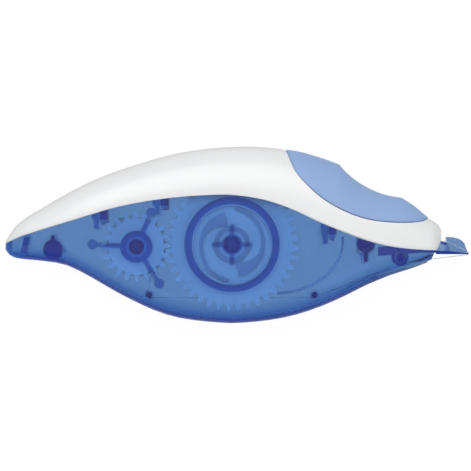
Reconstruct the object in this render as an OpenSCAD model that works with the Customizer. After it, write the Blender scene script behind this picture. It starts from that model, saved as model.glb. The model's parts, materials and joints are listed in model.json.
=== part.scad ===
// Pen-style correction tape, lying on its side.
// +X runs to the tip, +Y to the white cover, +Z is the thickness.
// The origin is on the resting face, on the axis of the fresh reel.

/* [Tape] */
// Width of the tape
tape_w = 5; // [4:0.1:6]
// Thickness of the film where it runs free
film_t = 0.12; // [0.08:0.01:0.2]
// Gap between the film and what it runs on
film_gap = 0.06; // [0.04:0.01:0.1]
// Outer radius of the fresh roll
roll_r = 13; // [10:0.1:13.2]
// Depth of the film wound on the used reel
used_t = 1.4; // [0.8:0.1:2]

/* [Reels] */
// Outer radius of the fresh reel's drum
supply_drum_r = 6.5; // [5.6:0.1:7.5]
// Room between the used reel's sleeve and its drum
drum_room = 0.5; // [0.3:0.05:0.8]
// Wall of the drums and sleeves
reel_wall = 1.2; // [1:0.05:1.4]
// Thickness of the reel discs
flange_t = 0.6; // [0.5:0.05:0.8]
// How far the fresh reel's discs stand past the roll
supply_lip = 0.8; // [0.4:0.1:1]
// How far the used reel's discs stand past the roll
takeup_lip = 1.6; // [0.8:0.1:2]
// Radial gap of parts that turn on each other
run_gap = 0.05; // [0.02:0.01:0.09]
// Gap along the axles between parts that turn
side_gap = 0.25; // [0.2:0.05:0.35]

/* [Gears] */
// Gear module
gear_module = 0.85; // [0.82:0.01:0.87]
// Teeth on the fresh reel's gear
supply_teeth = 40; // [38:1:41]
// Teeth on the used reel's gear
takeup_teeth = 20; // [18:1:21]
// Thickness of the gears
gear_t = 1.4; // [1.2:0.1:1.8]
// Thickness of the large gear's web, under the clutch
web_t = 0.5; // [0.4:0.05:0.6]
// Inner radius of the large gear's rim
rim_r = 10.4; // [10:0.1:10.6]
// Play between the teeth
backlash = 0.16; // [0.1:0.02:0.24]
// Width of the ring groove in the face of the large gear
groove_w = 0.6; // [0.4:0.1:0.8]
// Depth of the ring groove
groove_deep = 0.3; // [0.2:0.05:0.4]

/* [Clutch] */
// Width of each spring arm
arm_w = 0.9; // [0.7:0.05:1.1]
// Angle that each spring arm sweeps
arm_sweep = 160; // [140:5:165]
// Angle of the broad root of each arm
arm_root_sweep = 88; // [70:2:95]
// Outer radius of the broad root
arm_root_r = 8.8; // [8.4:0.1:9]
// Gap between the arms and the rim
arm_gap = 0.12; // [0.08:0.01:0.2]

/* [Axles] */
// Radius of the axle of the fresh reel
supply_axle_r = 2.2; // [1.8:0.1:2.4]
// Radius of the axle of the used reel
takeup_axle_r = 2; // [1.6:0.1:2.2]
// Radius of the pin at the end of each axle
axle_pin_r = 1; // [0.8:0.05:1.2]
// Height of the used reel's axle below that of the fresh reel
takeup_drop = 0.6; // [0:0.1:1.5]

/* [Casing] */
// Wall of the clear casing
wall = 1.4; // [1.2:0.05:1.6]
// Height of the ribs inside the casing
rib_h = 1.35; // [1.2:0.05:1.6]
// Room between the large gear and the belly of the casing
belly_gap = 1.85; // [1.6:0.05:2.6]
// Height over which the belly rounds in
belly_round = 6.5; // [6:0.1:7]
// Length of the casing behind the used reel's axle
tail_reach = 35.1; // [32:0.1:40]
// Length of the cover in front of the fresh reel's axle
nose_reach = 56; // [53:0.5:60]
// Height of the cover's crest above the axle
crest_h = 26.1; // [25:0.1:29]
// Height of the seam's crest above the axle
seam_h = 13.2; // [12.4:0.1:14]
// Half width of the casing at the nose
nose_half_w = 4.4; // [4.2:0.1:5]
// Half width of the casing at the tail
tail_half_w = 4.2; // [3.8:0.1:5]
// Gap along the seam between the cover and the casing
seam_gap = 0.1; // [0.05:0.01:0.2]

/* [Cover and grip] */
// Wall of the cover
cover_wall = 1.6; // [1.4:0.05:1.8]
// How far the cover stays inside the casing's faces
cover_step = 0; // [0:0.01:0.1]
// Thickness of the soft grip
grip_t = 1.3; // [1:0.05:1.4]
// Gap between the grip and its pocket
grip_gap = 0.1; // [0.06:0.01:0.15]
// Depth of the finger scoop below its chord
scoop_deep = 1.9; // [1.2:0.1:2.4]
// Length of the finger scoop
scoop_len = 16.7; // [14:0.1:18]
// Fall of the finger scoop from back to front
scoop_fall = 8.9; // [8:0.1:9.6]

/* [Tip] */
// How far the pressing edge stands in front of the nose
tip_reach = 7.2; // [6:0.1:8]
// Room beside the tape between the fins
tip_side_gap = 0.3; // [0.2:0.05:0.4]
// Thickness of each fin
fin_t = 0.7; // [0.5:0.05:0.9]
// Radius of the pin that holds the tip
tip_pin_r = 1.2; // [1:0.05:1.4]
// Radius of the eye around that pin
tip_eye_r = 2.2; // [2:0.05:2.3]

/* [Hidden] */
$fn = 64;
pressure_angle = 20;
eps = 0.01;

// Gear sizes
supply_pitch_r = gear_module * supply_teeth / 2;
takeup_pitch_r = gear_module * takeup_teeth / 2;
supply_tip_r = supply_pitch_r + gear_module;
takeup_x = -sqrt(pow(supply_pitch_r + takeup_pitch_r, 2) - pow(takeup_drop, 2));
takeup_at = [takeup_x, -takeup_drop];
mesh_angle = atan2(takeup_at.y, takeup_at.x);

// Reel sizes
supply_sleeve_r = supply_axle_r + run_gap + reel_wall;
takeup_sleeve_r = takeup_axle_r + run_gap + reel_wall;
takeup_drum_r = takeup_sleeve_r + drum_room + reel_wall;
used_r = takeup_drum_r + used_t;

// Levels along the thickness, from the middle plane outward
flange_z = tape_w / 2 + side_gap;
gear_z = flange_z + flange_t + side_gap;
rib_z = gear_z + gear_t + side_gap;
inner_z = rib_z + rib_h;
half_w = inner_z + wall;
shoulder_z = flange_z + flange_t + side_gap;

// Outline of the casing, as shares of each stretch's run and rise
tail_x = takeup_x - tail_reach;
nose_x = nose_reach;
shell_nose_x = nose_x - 2.4;
belly_y = -(supply_tip_r + belly_gap + wall);
crest = [1.5, crest_h];
seam_crest = [-3, seam_h];
belly = [-1, belly_y];
tail_top = [tail_x, 1];
tail_seam = [tail_x, 0.2];
tail_low = [tail_x, -1.6];
nose_top = [nose_x, 4];
nose_seam = [shell_nose_x + 0.6, -1.6];
nose_low = [shell_nose_x, -4.3];
scoop_back = [nose_x - 27.3, crest_h - 4.7];
scoop_front = scoop_back + [scoop_len, -scoop_fall];

back_shape = [[0, 0], [0.05, 0.17], [0.155, 0.345], [0.36, 0.622], [0.57, 0.815], [0.78, 0.948], [1, 1]];
arch_shape = [[0.32, 0.06], [0.61, 0.277], [0.85, 0.68], [1, 1]];
beak_shape = [[0, 0], [0.32, 0.256], [0.67, 0.616], [0.92, 0.85], [1, 1]];
seam_back_shape = [[0, 0], [0.085, 0.16], [0.31, 0.47], [0.53, 0.754], [0.75, 0.923], [1, 1]];
seam_front_shape = [[0.12, 0.034], [0.23, 0.122], [0.345, 0.285], [0.455, 0.486], [0.57, 0.669],
  [0.68, 0.824], [0.79, 0.932], [0.905, 0.986], [1, 1]];
low_back_shape = [[0, 0], [0.02, 0.07], [0.055, 0.11], [0.163, 0.144], [0.27, 0.2], [0.378, 0.36],
  [0.487, 0.554], [0.594, 0.723], [0.7, 0.86], [0.81, 0.944], [1, 1]];
low_front_shape = [[0.088, 0.01], [0.205, 0.05], [0.322, 0.125], [0.44, 0.249], [0.559, 0.414],
  [0.676, 0.604], [0.793, 0.763], [0.912, 0.888], [1, 1]];
grip_back = [nose_x - 41.5, 0];
grip_front = [nose_x - 3.5, 0];
grip_shape = [[0, 1], [0.055, 0.74], [0.14, 0.53], [0.27, 0.31], [0.44, 0.13], [0.6, 0.035],
  [0.8, 0], [0.945, 0.016], [1, 0.055]];
grip_low_y = 6.2;

function mix(a, b, t) = a + (b - a) * t;
function stretch(a, b, shape) = [for (s = shape) [mix(a.x, b.x, s.x), mix(a.y, b.y, s.y)]];
function last(p) = p[len(p) - 1];

// Smooth curve through points, read at x
function slope(p, i) =
  let (a = max(i - 1, 0), b = min(i + 1, len(p) - 1)) (p[b].y - p[a].y) / (p[b].x - p[a].x);
function part_of(p, x, i = 0) = i >= len(p) - 2 || x < p[i + 1].x ? i : part_of(p, x, i + 1);
function curve(p, x) =
  let (
    q = min(max(x, p[0].x), last(p).x), i = part_of(p, q), h = p[i + 1].x - p[i].x, t = (q - p[i].x) / h,
    rise = p[i + 1].y - p[i].y, m0 = slope(p, i) * h, m1 = slope(p, i + 1) * h
  )
  p[i].y + t * m0 + t * t * (3 * rise - 2 * m0 - m1) + t * t * t * (m0 + m1 - 2 * rise);

top_line = concat(stretch(tail_top, crest, back_shape), stretch(crest, scoop_back, arch_shape));
beak_line = stretch(scoop_front, nose_top, beak_shape);
seam_line = concat(
  stretch(tail_seam, seam_crest, seam_back_shape),
  stretch(seam_crest, nose_seam, seam_front_shape)
);
low_line = concat(stretch(tail_low, belly, low_back_shape), stretch(belly, nose_low, low_front_shape));

// Height of the crown: back, finger scoop as an arc, then the beak
scoop_chord = norm([scoop_len, scoop_fall]);
scoop_r = (pow(scoop_chord / 2, 2) + pow(scoop_deep, 2)) / (2 * scoop_deep);
scoop_center = (scoop_back + scoop_front) / 2
  + (scoop_r - scoop_deep) * [scoop_fall, scoop_len] / scoop_chord;
function scoop_y(x) = scoop_center.y - sqrt(pow(scoop_r, 2) - pow(x - scoop_center.x, 2));
function top_y(x) =
  x <= scoop_back.x ? curve(top_line, x) : x < scoop_front.x ? scoop_y(x) : curve(beak_line, x);
function low_y(x) = curve(low_line, x);
// The cover's lower edge follows the seam, then turns up round the nose
function seam_y(x) = curve(seam_line, x);
nose_turn = nose_x - nose_seam.x;
function cover_low_y(x) =
  let (t = max(0, (x - nose_seam.x) / nose_turn))
  seam_y(x) + (nose_top.y - 0.8 - nose_seam.y) * (1 - sqrt(1 - min(1, t * t)));

// Half width in plan: flat in the middle, tapered and rounded at the ends
flat_back_x = takeup_x - 6;
flat_front_x = 24;
tail_round = 7;
nose_round = 3;
function end_round(run, length, left) =
  let (t = max(0, 1 - run / length)) sqrt(1 - (1 - left * left) * t * t);
function taper(x) =
  x > flat_front_x ? (half_w - nose_half_w) * pow((x - flat_front_x) / (nose_x - flat_front_x), 1.8)
  : x < flat_back_x ? (half_w - tail_half_w) * pow((flat_back_x - x) / (flat_back_x - tail_x), 1.8)
  : 0;
function half_width(x) =
  (half_w - taper(x)) * end_round(x - tail_x, tail_round, 0.3) * end_round(nose_x - x, nose_round, 0.6);

// Rounded sections are superellipses
belly_power = 2.5;
crown_power = 2.3;
function belly_h(x, inset) = min(belly_round - inset, 0.85 * (seam_y(x) - low_y(x) - inset));
belly_steps = 8;
function belly_points(x, inset) =
  let (w = half_width(x) - inset, y0 = low_y(x) + inset, h = belly_h(x, inset))
  [for (k = [0:belly_steps]) let (a = 90 * k / belly_steps)
    [y0 + h - h * pow(sin(a), 2 / belly_power), w * pow(cos(a), 2 / belly_power)]];
crown_steps = 18;
function crown_point(x, inset, a) =
  let (w = half_width(x) - cover_step - inset, y0 = cover_low_y(x) + seam_gap, h = top_y(x) - inset - y0)
  [y0 + h * pow(cos(a), 2 / crown_power), sign(a) * w * pow(abs(sin(a)), 2 / crown_power)];
function crown_points(x, inset) =
  [for (k = [0:crown_steps]) crown_point(x, inset, 180 * k / crown_steps - 90)];

function in_space(x, section) = [for (p = section) [x, p.x, p.y]];
function steps(a, b, n) = [for (k = [0:n - 1]) a + (b - a) * k / n];

// Closed solid over a row of rings
module skin(rings) {
  n = len(rings[0]);
  m = len(rings);
  sides = [for (i = [0:m - 2]) for (j = [0:n - 1]) let (k = (j + 1) % n)
    each [[i * n + j, (i + 1) * n + j, (i + 1) * n + k], [i * n + j, (i + 1) * n + k, i * n + k]]];
  start_cap = [for (j = [1:n - 2]) [0, j, j + 1]];
  end_cap = [for (j = [1:n - 2]) [(m - 1) * n, (m - 1) * n + j + 1, (m - 1) * n + j]];
  polyhedron(points = [for (r = rings) each r], faces = concat(sides, start_cap, end_cap));
}

// Closed solid between two sheets of points
module sheet(outer, inner) {
  m = len(outer);
  n = len(outer[0]);
  s = m * n;
  both = [for (i = [0:m - 2]) for (j = [0:n - 2]) let (a = i * n + j, b = a + n)
    each [[a, b, b + 1], [a, b + 1, a + 1], [s + a, s + b + 1, s + b], [s + a, s + a + 1, s + b + 1]]];
  sides = [for (i = [0:m - 2]) let (a = i * n, b = a + n, c = a + n - 1, d = c + n)
    each [[a, s + a, s + b], [a, s + b, b], [c, s + d, s + c], [c, d, s + d]]];
  ends = [for (j = [0:n - 2]) let (a = j, b = (m - 1) * n + j)
    each [[a, a + 1, s + a + 1], [a, s + a + 1, s + a], [b, s + b + 1, b + 1], [b, s + b, s + b + 1]]];
  points = concat([for (r = outer) each r], [for (r = inner) each r]);
  polyhedron(points = points, faces = concat(both, sides, ends));
}

// Stations along the casing, closer at the round tail
shell_stations = concat(
  steps(tail_x, tail_x + tail_round, 7),
  steps(tail_x + tail_round, flat_back_x, 7),
  steps(flat_back_x, flat_front_x, 16),
  steps(flat_front_x, shell_nose_x, 10),
  [shell_nose_x, nose_seam.x]
);
// The front end leans back, and its lower corner is round
nose_corner = 1.1;
nose_cut = [
  nose_seam + [1, 1], nose_seam + [0, 1], nose_seam - [0, 0.3],
  nose_low + [-0.05, nose_corner], nose_low + [-0.3, 0.4 * nose_corner],
  nose_low - [0.75, 0.02], nose_low - [nose_corner + 0.3, 0.55],
  nose_low - [nose_corner + 0.3, 2], nose_low + [2, -2]
];
end_wall = 1.8;
cavity_x = tail_x + end_wall;
cavity_stations = concat(
  steps(cavity_x, flat_back_x, 10),
  steps(flat_back_x, flat_front_x, 16),
  steps(flat_front_x, shell_nose_x, 10),
  [shell_nose_x, shell_nose_x + 1]
);

// One half of the casing, from the middle plane outward
module half_casing() {
  over = 1;
  difference() {
    skin([for (x = shell_stations)
      let (top = seam_y(x), p = belly_points(x, 0))
      in_space(x, concat([[top, 0], [top, half_width(x)]], p, [[low_y(x), 0]]))]);
    skin([for (x = cavity_stations)
      let (top = seam_y(x) + over, p = belly_points(x, wall))
      in_space(x, concat([[top, -over], [top, p[0].y]], p, [[last(p).x, -over]]))]);
    slab(ribbon(channel_path, channel_t), -over, tip_half_w + tip_side_gap);
    slab(nose_cut, -over, half_w);
  }
}

// Posts and ribs moulded on both halves
tail_post_at = [tail_x + 12.9, -1.3];
tail_post_r = 2.6;
nose_post_at = [nose_x - 20.4, 0.2];
nose_post_r = 2.4;
guide_post_r = 0.8;
guide_clear = 0.4;
guide_reach = 4.1;
guide_drop = roll_r + supply_lip + guide_clear - guide_post_r;
guide_x = supply_tip_r + guide_reach;
guide_ats = [[guide_x, -guide_drop], [-guide_x, -guide_drop]];
tip_pin_at = [nose_x - 11.1, -3.4];
catch_xs = [takeup_x - 11.8, takeup_x + 4.4, nose_x - 32.3];
catch_w = 4.1;
catch_h = 1.2;
catch_drop = 0.1;
catch_deep = 0.9;
catch_stem_at = 0.5;
catch_stem_w = 1.3;
catch_stem_h = 2.5;
web_low = [tail_x + 3.9, -3.2];
web_top = [tail_x + 5.2, 2];
web_w = 1.6;
web_deep = 2.2;
stem_w = 1.1;
tail_stem = 1.1;
nose_stem = 2.4;
tab_x = nose_x - 26.5;
tab_len = 6.7;
tab_h = 2.2;
tab_z = tape_w / 2 + 0.8;
seat = 0.4;
limit_stations = [for (x = cavity_stations) if (x <= shell_nose_x) x];

module post(at, r) translate([at.x, at.y, 0]) cylinder(r = r, h = half_w);

// A block on the wall, from a depth inside the wall's face
module wall_block(x, y, size, deep) {
  translate([x, y, half_width(x + size.x / 2) - wall - deep]) cube([size.x, size.y, half_w]);
}

// Everything moulded inside stays within the wall
module within_wall() {
  intersection() {
    union() children();
    skin([for (x = limit_stations)
      let (p = belly_points(x, seat), top = seam_y(x) - seam_gap)
      in_space(x, concat([[top, 0], [top, p[0].y]], p, [[last(p).x, 0]]))]);
  }
}

// A catch is a bar under the seam with a stem below it
function catch_y(x) = min(seam_y(x), seam_y(x + catch_w)) - catch_drop - catch_h;
module catch(x) {
  y = catch_y(x);
  wall_block(x, y, [catch_w, max(seam_y(x), seam_y(x + catch_w)) - y], catch_deep);
  wall_block(x + catch_stem_at, y - catch_stem_h, [catch_stem_w, catch_stem_h + eps], catch_deep);
}

module shared_ribs() {
  post(tail_post_at, tail_post_r);
  post(nose_post_at, nose_post_r);
  for (at = guide_ats) post(at, guide_post_r);
  post(tip_pin_at, tip_pin_r);
  for (x = catch_xs) catch(x);
  translate([tail_post_at.x - stem_w / 2, tail_post_at.y, 0])
    cube([stem_w, tail_post_r + tail_stem, half_w]);
  translate([nose_post_at.x - stem_w / 2, nose_post_at.y - nose_post_r - nose_stem, 0])
    cube([stem_w, nose_post_r + nose_stem, half_w]);
  translate([0, 0, half_width(web_low.x) - wall - web_deep]) linear_extrude(half_w) polygon([
    web_low, web_low + [web_w, 0], web_top + [web_w, 0], web_top
  ]);
  translate([0, 0, tab_z]) linear_extrude(half_w) polygon([
    [tab_x, low_y(tab_x)], [tab_x + tab_len, low_y(tab_x + tab_len)],
    [tab_x + tab_len, low_y(tab_x + tab_len) + tab_h], [tab_x, low_y(tab_x) + tab_h]
  ]);
}

// Ribs round the reels on the half that faces the gears
boss_r = 2.6;
takeup_boss_r = 4.2;
cross_r = 5.4;
cross_w = 1.1;
thrust_r = [10.85, 12.6];
rib_pip_r = 1.3;
takeup_ribs = [[177, 11.7], [66, 9.9], [302, 11.6]];
module ring(r_out, r_in, h) {
  difference() {
    cylinder(r = r_out, h = h);
    translate([0, 0, -1]) cylinder(r = r_in, h = h + 2);
  }
}

module gear_side_ribs() {
  h = inner_z + seat - rib_z;
  translate([0, 0, rib_z]) {
    ring(thrust_r[1], thrust_r[0], h);
    difference() {
      union() {
        cylinder(r = boss_r, h = h);
        for (a = [0, 90]) rotate(a) translate([-cross_r, -cross_w / 2, 0]) cube([2 * cross_r, cross_w, h]);
      }
      translate([0, 0, -1]) cylinder(r = axle_pin_r + run_gap, h = rib_h + 1);
    }
  }
  translate([takeup_at.x, takeup_at.y, rib_z]) difference() {
    union() {
      cylinder(r = takeup_boss_r, h = h);
      for (r = takeup_ribs) rotate(r[0]) {
        translate([0, -cross_w / 2, 0]) cube([r[1], cross_w, h]);
        translate([r[1], 0, 0]) cylinder(r = rib_pip_r, h = h);
      }
    }
    translate([0, 0, -1]) cylinder(r = axle_pin_r + run_gap, h = rib_h + 1);
  }
}

// Axles on the other half, each with a shoulder and an end pin
module axle(at, r) {
  shoulder_r = r + reel_wall;
  translate([at.x, at.y, 0]) {
    translate([0, 0, -rib_z + side_gap]) cylinder(r = r, h = rib_z - side_gap + inner_z + seat);
    translate([0, 0, -rib_z - rib_h / 2]) cylinder(r = axle_pin_r, h = rib_z);
    translate([0, 0, shoulder_z]) cylinder(r = shoulder_r, h = inner_z + seat - shoulder_z);
  }
}

// Low curved wall in front of the fresh roll
chamber_at = [12, 1.2];
chamber_r = [17.7, 14.3];
chamber_t = 0.8;
chamber_h = 2.6;
chamber_path = [for (k = [0:16]) let (a = mix(-90, 4, k / 16))
  chamber_at + [chamber_r[0] * cos(a), chamber_r[1] * sin(a)]];
module chamber_wall() {
  translate([0, 0, inner_z - chamber_h]) linear_extrude(chamber_h + seat)
    polygon(ribbon(chamber_path, chamber_t));
}

module near_half() translate([0, 0, half_w]) children();
module far_half() translate([0, 0, half_w]) mirror([0, 0, 1]) children();

module near_shell() {
  color([0.3, 0.45, 0.8, 0.6]) near_half() {
    half_casing();
    within_wall() shared_ribs();
    gear_side_ribs();
  }
}

module far_shell() {
  color([0.28, 0.42, 0.78, 0.6]) far_half() {
    half_casing();
    within_wall() shared_ribs();
    within_wall() chamber_wall();
    axle([0, 0], supply_axle_r);
    axle(takeup_at, takeup_axle_r);
  }
}

// White cover with its pocket for the grip, its slot for the tip and its snap tongues
cover_stations = concat(
  steps(tail_x, tail_x + tail_round, 7),
  steps(tail_x + tail_round, flat_back_x, 6),
  steps(flat_back_x, scoop_back.x, 12),
  steps(scoop_back.x, scoop_front.x, 6),
  steps(scoop_front.x, nose_x - nose_round, 4),
  steps(nose_x - nose_round, nose_x, 5),
  [nose_x]
);
cover_end_wall = 3.4;
cover_cavity_back_x = tail_x + cover_end_wall;
cover_cavity_front_x = nose_x - 4.6;
cover_cavity_stations = concat(
  steps(cover_cavity_back_x, flat_back_x, 9),
  steps(flat_back_x, scoop_back.x, 12),
  steps(scoop_back.x, scoop_front.x, 6),
  steps(scoop_front.x, cover_cavity_front_x, 4),
  [cover_cavity_front_x]
);
// The cover is thicker under the grip
grip_lead = 4;
function cover_inset(x) =
  cover_wall + grip_t * min(1, max(0, (x - grip_back.x + grip_lead) / grip_lead));

grip_line = [for (s = grip_shape)
  [mix(grip_back.x, grip_front.x, s.x), mix(grip_low_y, top_y(grip_back.x), s.y)]];
function grip_angle(x, drop) =
  let (
    y0 = cover_low_y(x) + seam_gap,
    share = (curve(grip_line, x) - drop - y0) / (top_y(x) - y0)
  )
  max(5, acos(min(1, pow(max(0, share), crown_power / 2))));
grip_steps = 14;
function grip_row(x, inset, drop) =
  let (a = grip_angle(x, drop))
  in_space(x, [for (k = [0:grip_steps]) crown_point(x, inset, mix(-a, a, k / grip_steps))]);
grip_stations = concat(
  steps(grip_back.x, grip_back.x + 4, 5),
  steps(grip_back.x + 4, scoop_back.x, 6),
  steps(scoop_back.x, scoop_front.x, 8),
  steps(scoop_front.x, grip_front.x, 5),
  [grip_front.x]
);
pocket_stations = concat([grip_back.x - grip_gap], grip_stations, [grip_front.x + grip_gap]);

tongue_t = 1;
tongue_x = catch_stem_at + catch_stem_w + 0.3;
module tongue(x) {
  w = catch_w - tongue_x - 0.3;
  mid_x = x + tongue_x + w / 2;
  z = half_width(mid_x) - wall - catch_deep - grip_gap - tongue_t;
  hook = 0.7;
  root = 2.6;
  low = catch_y(x) - seam_gap - hook;
  shelf = max(seam_y(mid_x - w / 2), seam_y(mid_x + w / 2)) + 2 * seam_gap;
  translate([mid_x - w / 2, low, z]) cube([w, seam_y(mid_x) + root - low, tongue_t]);
  translate([mid_x - w / 2, low, z]) cube([w, hook, tongue_t + hook]);
  translate([mid_x - w / 2, shelf, z])
    cube([w, seam_y(mid_x) + root - shelf, half_width(mid_x) - cover_wall + seat - z]);
}

module top_cover() {
  over = 1;
  slot_half = tip_half_w + tip_side_gap;
  slot_x = shank_x - over;
  color([0.95, 0.95, 0.96]) translate([0, 0, half_w]) {
    difference() {
      skin([for (x = cover_stations) in_space(x, crown_points(x, 0))]);
      skin([for (x = cover_cavity_stations)
        let (p = crown_points(x, cover_inset(x)))
        in_space(x, concat([[p[0].x - over, p[0].y]], p, [[last(p).x - over, last(p).y]]))]);
      sheet(
        [for (x = pocket_stations) grip_row(x, -over, grip_gap)],
        [for (x = pocket_stations) grip_row(x, grip_t + grip_gap, grip_gap)]
      );
      slab([
        [slot_x, nose_seam.y - over], [nose_x + over, nose_seam.y - over],
        [nose_x + over, neck_bend.y + tip_side_gap], [slot_x, feed_y(slot_x) + tip_side_gap]
      ], -slot_half, slot_half);
    }
    for (x = catch_xs) {
      tongue(x);
      mirror([0, 0, 1]) tongue(x);
    }
  }
}

module finger_grip() {
  color([0.58, 0.69, 0.87]) translate([0, 0, half_w]) sheet(
    [for (x = grip_stations) grip_row(x, 0, 0)],
    [for (x = grip_stations) grip_row(x, grip_t, 0)]
  );
}

// Tip: a thin blade and a film bar between two fins, on a shank that a pin in the casing holds
tip_half_w = tape_w / 2 + tip_side_gap;
neck_y = 0.9;
tip_low_y = -2.6;
tip_seat_y = -2.2;
edge_x = nose_x + tip_reach;
fin_back_x = nose_x + 1.4;
fin_top_y = 2;
edge_t = 0.25;
shank_x = nose_x - 17;
module slab(points, z0, z1) translate([0, 0, z0]) linear_extrude(z1 - z0) polygon(points);

fin_round = 4.4;
fin_round_h = 2.5;
fin_lean = 0.9;
fin_round_at = [edge_x - fin_lean - fin_round, fin_top_y - fin_round_h];
fin_points = concat(
  [[fin_back_x, tip_low_y], [edge_x, tip_low_y]],
  [for (k = [0:6]) let (a = 15 * k) fin_round_at + [fin_round * cos(a), fin_round_h * sin(a)]],
  [[fin_back_x, fin_top_y]]
);
neck_root_x = nose_x - 5;
neck_front_x = nose_x - 0.4;
neck_rise = 0.6;
wedge_fall = 0.4;
seat_front_x = nose_x - 1.5;
foot_back_x = nose_x - 1.2;
shank_top_y = -0.7;
shank_low_y = -3.1;
blade_t = 0.9;
bar_t = 0.7;
cheek_t = 0.6;
cheek_points = [
  [neck_root_x, tip_seat_y], [seat_front_x, tip_seat_y], [foot_back_x, tip_low_y],
  [fin_back_x + 2 * cheek_t, tip_low_y], [fin_back_x, neck_y - wedge_fall],
  [neck_front_x, neck_y], [neck_root_x, neck_y - neck_rise]
];
module applicator_tip() {
  fin_z = tip_half_w;
  color([0.35, 0.5, 0.85, 0.6]) translate([0, 0, half_w]) {
    slab([
      [neck_root_x, tip_seat_y], [seat_front_x, tip_seat_y], [foot_back_x, tip_low_y],
      [edge_x, tip_low_y], [edge_x, tip_low_y + edge_t],
      [fin_back_x, tip_low_y + blade_t], [neck_root_x, tip_low_y + blade_t]
    ], -fin_z, fin_z);
    slab([
      [neck_front_x, neck_y], [neck_front_x, neck_y - bar_t],
      [fin_back_x, neck_y - wedge_fall - bar_t], [fin_back_x, neck_y - wedge_fall]
    ], -fin_z, fin_z);
    for (s = [0, 1]) mirror([0, 0, s]) {
      slab(cheek_points, fin_z - cheek_t, fin_z);
      slab(fin_points, fin_z - eps, fin_z + fin_t);
    }
    difference() {
      union() {
        slab([
          [shank_x, shank_top_y], [neck_root_x + eps, neck_y - neck_rise],
          [neck_root_x + eps, tip_seat_y], [shank_x, shank_low_y]
        ], -fin_z, fin_z);
        translate([tip_pin_at.x, tip_pin_at.y, -fin_z]) cylinder(r = tip_eye_r, h = 2 * fin_z);
      }
      translate([tip_pin_at.x, tip_pin_at.y, -fin_z - 1])
        cylinder(r = tip_pin_r + run_gap, h = 2 * fin_z + 2);
    }
  }
}

// Involute gear outline
function involute(a) = tan(a) - a * PI / 180;
function flank_angle(teeth, r) =
  let (pitch = gear_module * teeth / 2, base = pitch * cos(pressure_angle), a = acos(min(1, base / r)))
  90 / teeth + (involute(pressure_angle) - involute(a) - backlash / (2 * pitch)) * 180 / PI;
flank_steps = 3;
function gear_points(teeth) =
  let (
    pitch = gear_module * teeth / 2,
    root = pitch - 1.25 * gear_module,
    start = max(root + 0.05, pitch * cos(pressure_angle)),
    tip = pitch + gear_module,
    radii = [for (k = [0:flank_steps]) mix(start, tip, k / flank_steps)]
  )
  [for (i = [0:teeth - 1]) let (mid = 360 * i / teeth) each concat(
    [root * polar(mid - flank_angle(teeth, start))],
    [for (r = radii) r * polar(mid - flank_angle(teeth, r))],
    [for (k = [0:flank_steps]) let (r = radii[flank_steps - k]) r * polar(mid + flank_angle(teeth, r))],
    [root * polar(mid + flank_angle(teeth, start))]
  )];
function polar(a) = [cos(a), sin(a)];

module at_level(z) translate([0, 0, half_w + z]) children();
module at_takeup(z) translate([takeup_at.x, takeup_at.y, half_w + z]) children();

module supply_gear() {
  groove_r = roll_r + supply_lip;
  color([0.93, 0.94, 0.95]) at_level(gear_z) difference() {
    rotate(mesh_angle + 180 / supply_teeth) linear_extrude(gear_t) polygon(gear_points(supply_teeth));
    translate([0, 0, -1]) cylinder(r = supply_sleeve_r + run_gap, h = gear_t + 2);
    translate([0, 0, web_t]) cylinder(r = rim_r, h = gear_t);
    translate([0, 0, gear_t - groove_deep]) ring(groove_r, groove_r - groove_w, 1);
  }
}

// Slip clutch: a ring on the fresh reel's sleeve with two arms that press on the gear's rim.
// Each arm starts as a broad leaf on the ring and ends as a slim finger with a pad.
clutch_ring_r = supply_sleeve_r + run_gap / 2 + reel_wall;
pad_r = 0.6 * arm_w;
pad_at = rim_r - arm_gap - pad_r;
arm_start = 102;
arm_steps = 24;
function arm_radii(turn) =
  turn < arm_root_sweep
  ? [arm_root_r, mix(clutch_ring_r - reel_wall / 4, arm_root_r - arm_w, sin(90 * turn / arm_root_sweep))]
  : let (
      t = (turn - arm_root_sweep) / (arm_sweep - arm_root_sweep),
      r = mix(arm_root_r - arm_w / 2, pad_at, t)
    )
    [r + arm_w / 2, r - arm_w / 2];
arm_turns = [for (k = [0:arm_steps]) arm_sweep * k / arm_steps];
arm_points = concat(
  [for (a = arm_turns) arm_radii(a)[0] * polar(a)],
  [for (k = [0:arm_steps]) let (a = arm_turns[arm_steps - k]) arm_radii(a)[1] * polar(a)]
);
module clutch_spring() {
  lift = web_t + side_gap / 2;
  h = gear_t - lift;
  color([0.8, 0.85, 0.92]) at_level(gear_z + lift) {
    ring(clutch_ring_r, supply_sleeve_r + run_gap / 2, h);
    for (a = [0, 180]) rotate(arm_start + a) {
      linear_extrude(h) polygon(arm_points);
      rotate(arm_sweep) translate([pad_at, 0, 0]) cylinder(r = pad_r, h = h);
    }
  }
}

// A moulded drum with one disc, a thin web and a long sleeve
module drum(bore_r, sleeve_r, drum_r, disc_r, sleeve_z) {
  foot = -flange_z - flange_t;
  head = flange_z + flange_t;
  rotate_extrude() polygon([
    [bore_r, foot], [disc_r, foot], [disc_r, -flange_z], [drum_r, -flange_z], [drum_r, head],
    [drum_r - reel_wall, head], [drum_r - reel_wall, -flange_z], [sleeve_r, -flange_z],
    [sleeve_r, sleeve_z], [bore_r, sleeve_z]
  ]);
}

module supply_core() {
  color([0.9, 0.92, 0.95]) at_level(0)
    drum(supply_axle_r + run_gap, supply_sleeve_r, supply_drum_r, roll_r + supply_lip, gear_z + gear_t);
}

press_gap = 0.02;
module supply_flange() {
  color([0.9, 0.92, 0.95]) at_level(flange_z) ring(roll_r + supply_lip, supply_drum_r + press_gap, flange_t);
}

module supply_tape() {
  color([0.96, 0.96, 0.94]) at_level(-tape_w / 2) ring(roll_r, supply_drum_r + press_gap, tape_w);
}

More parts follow.
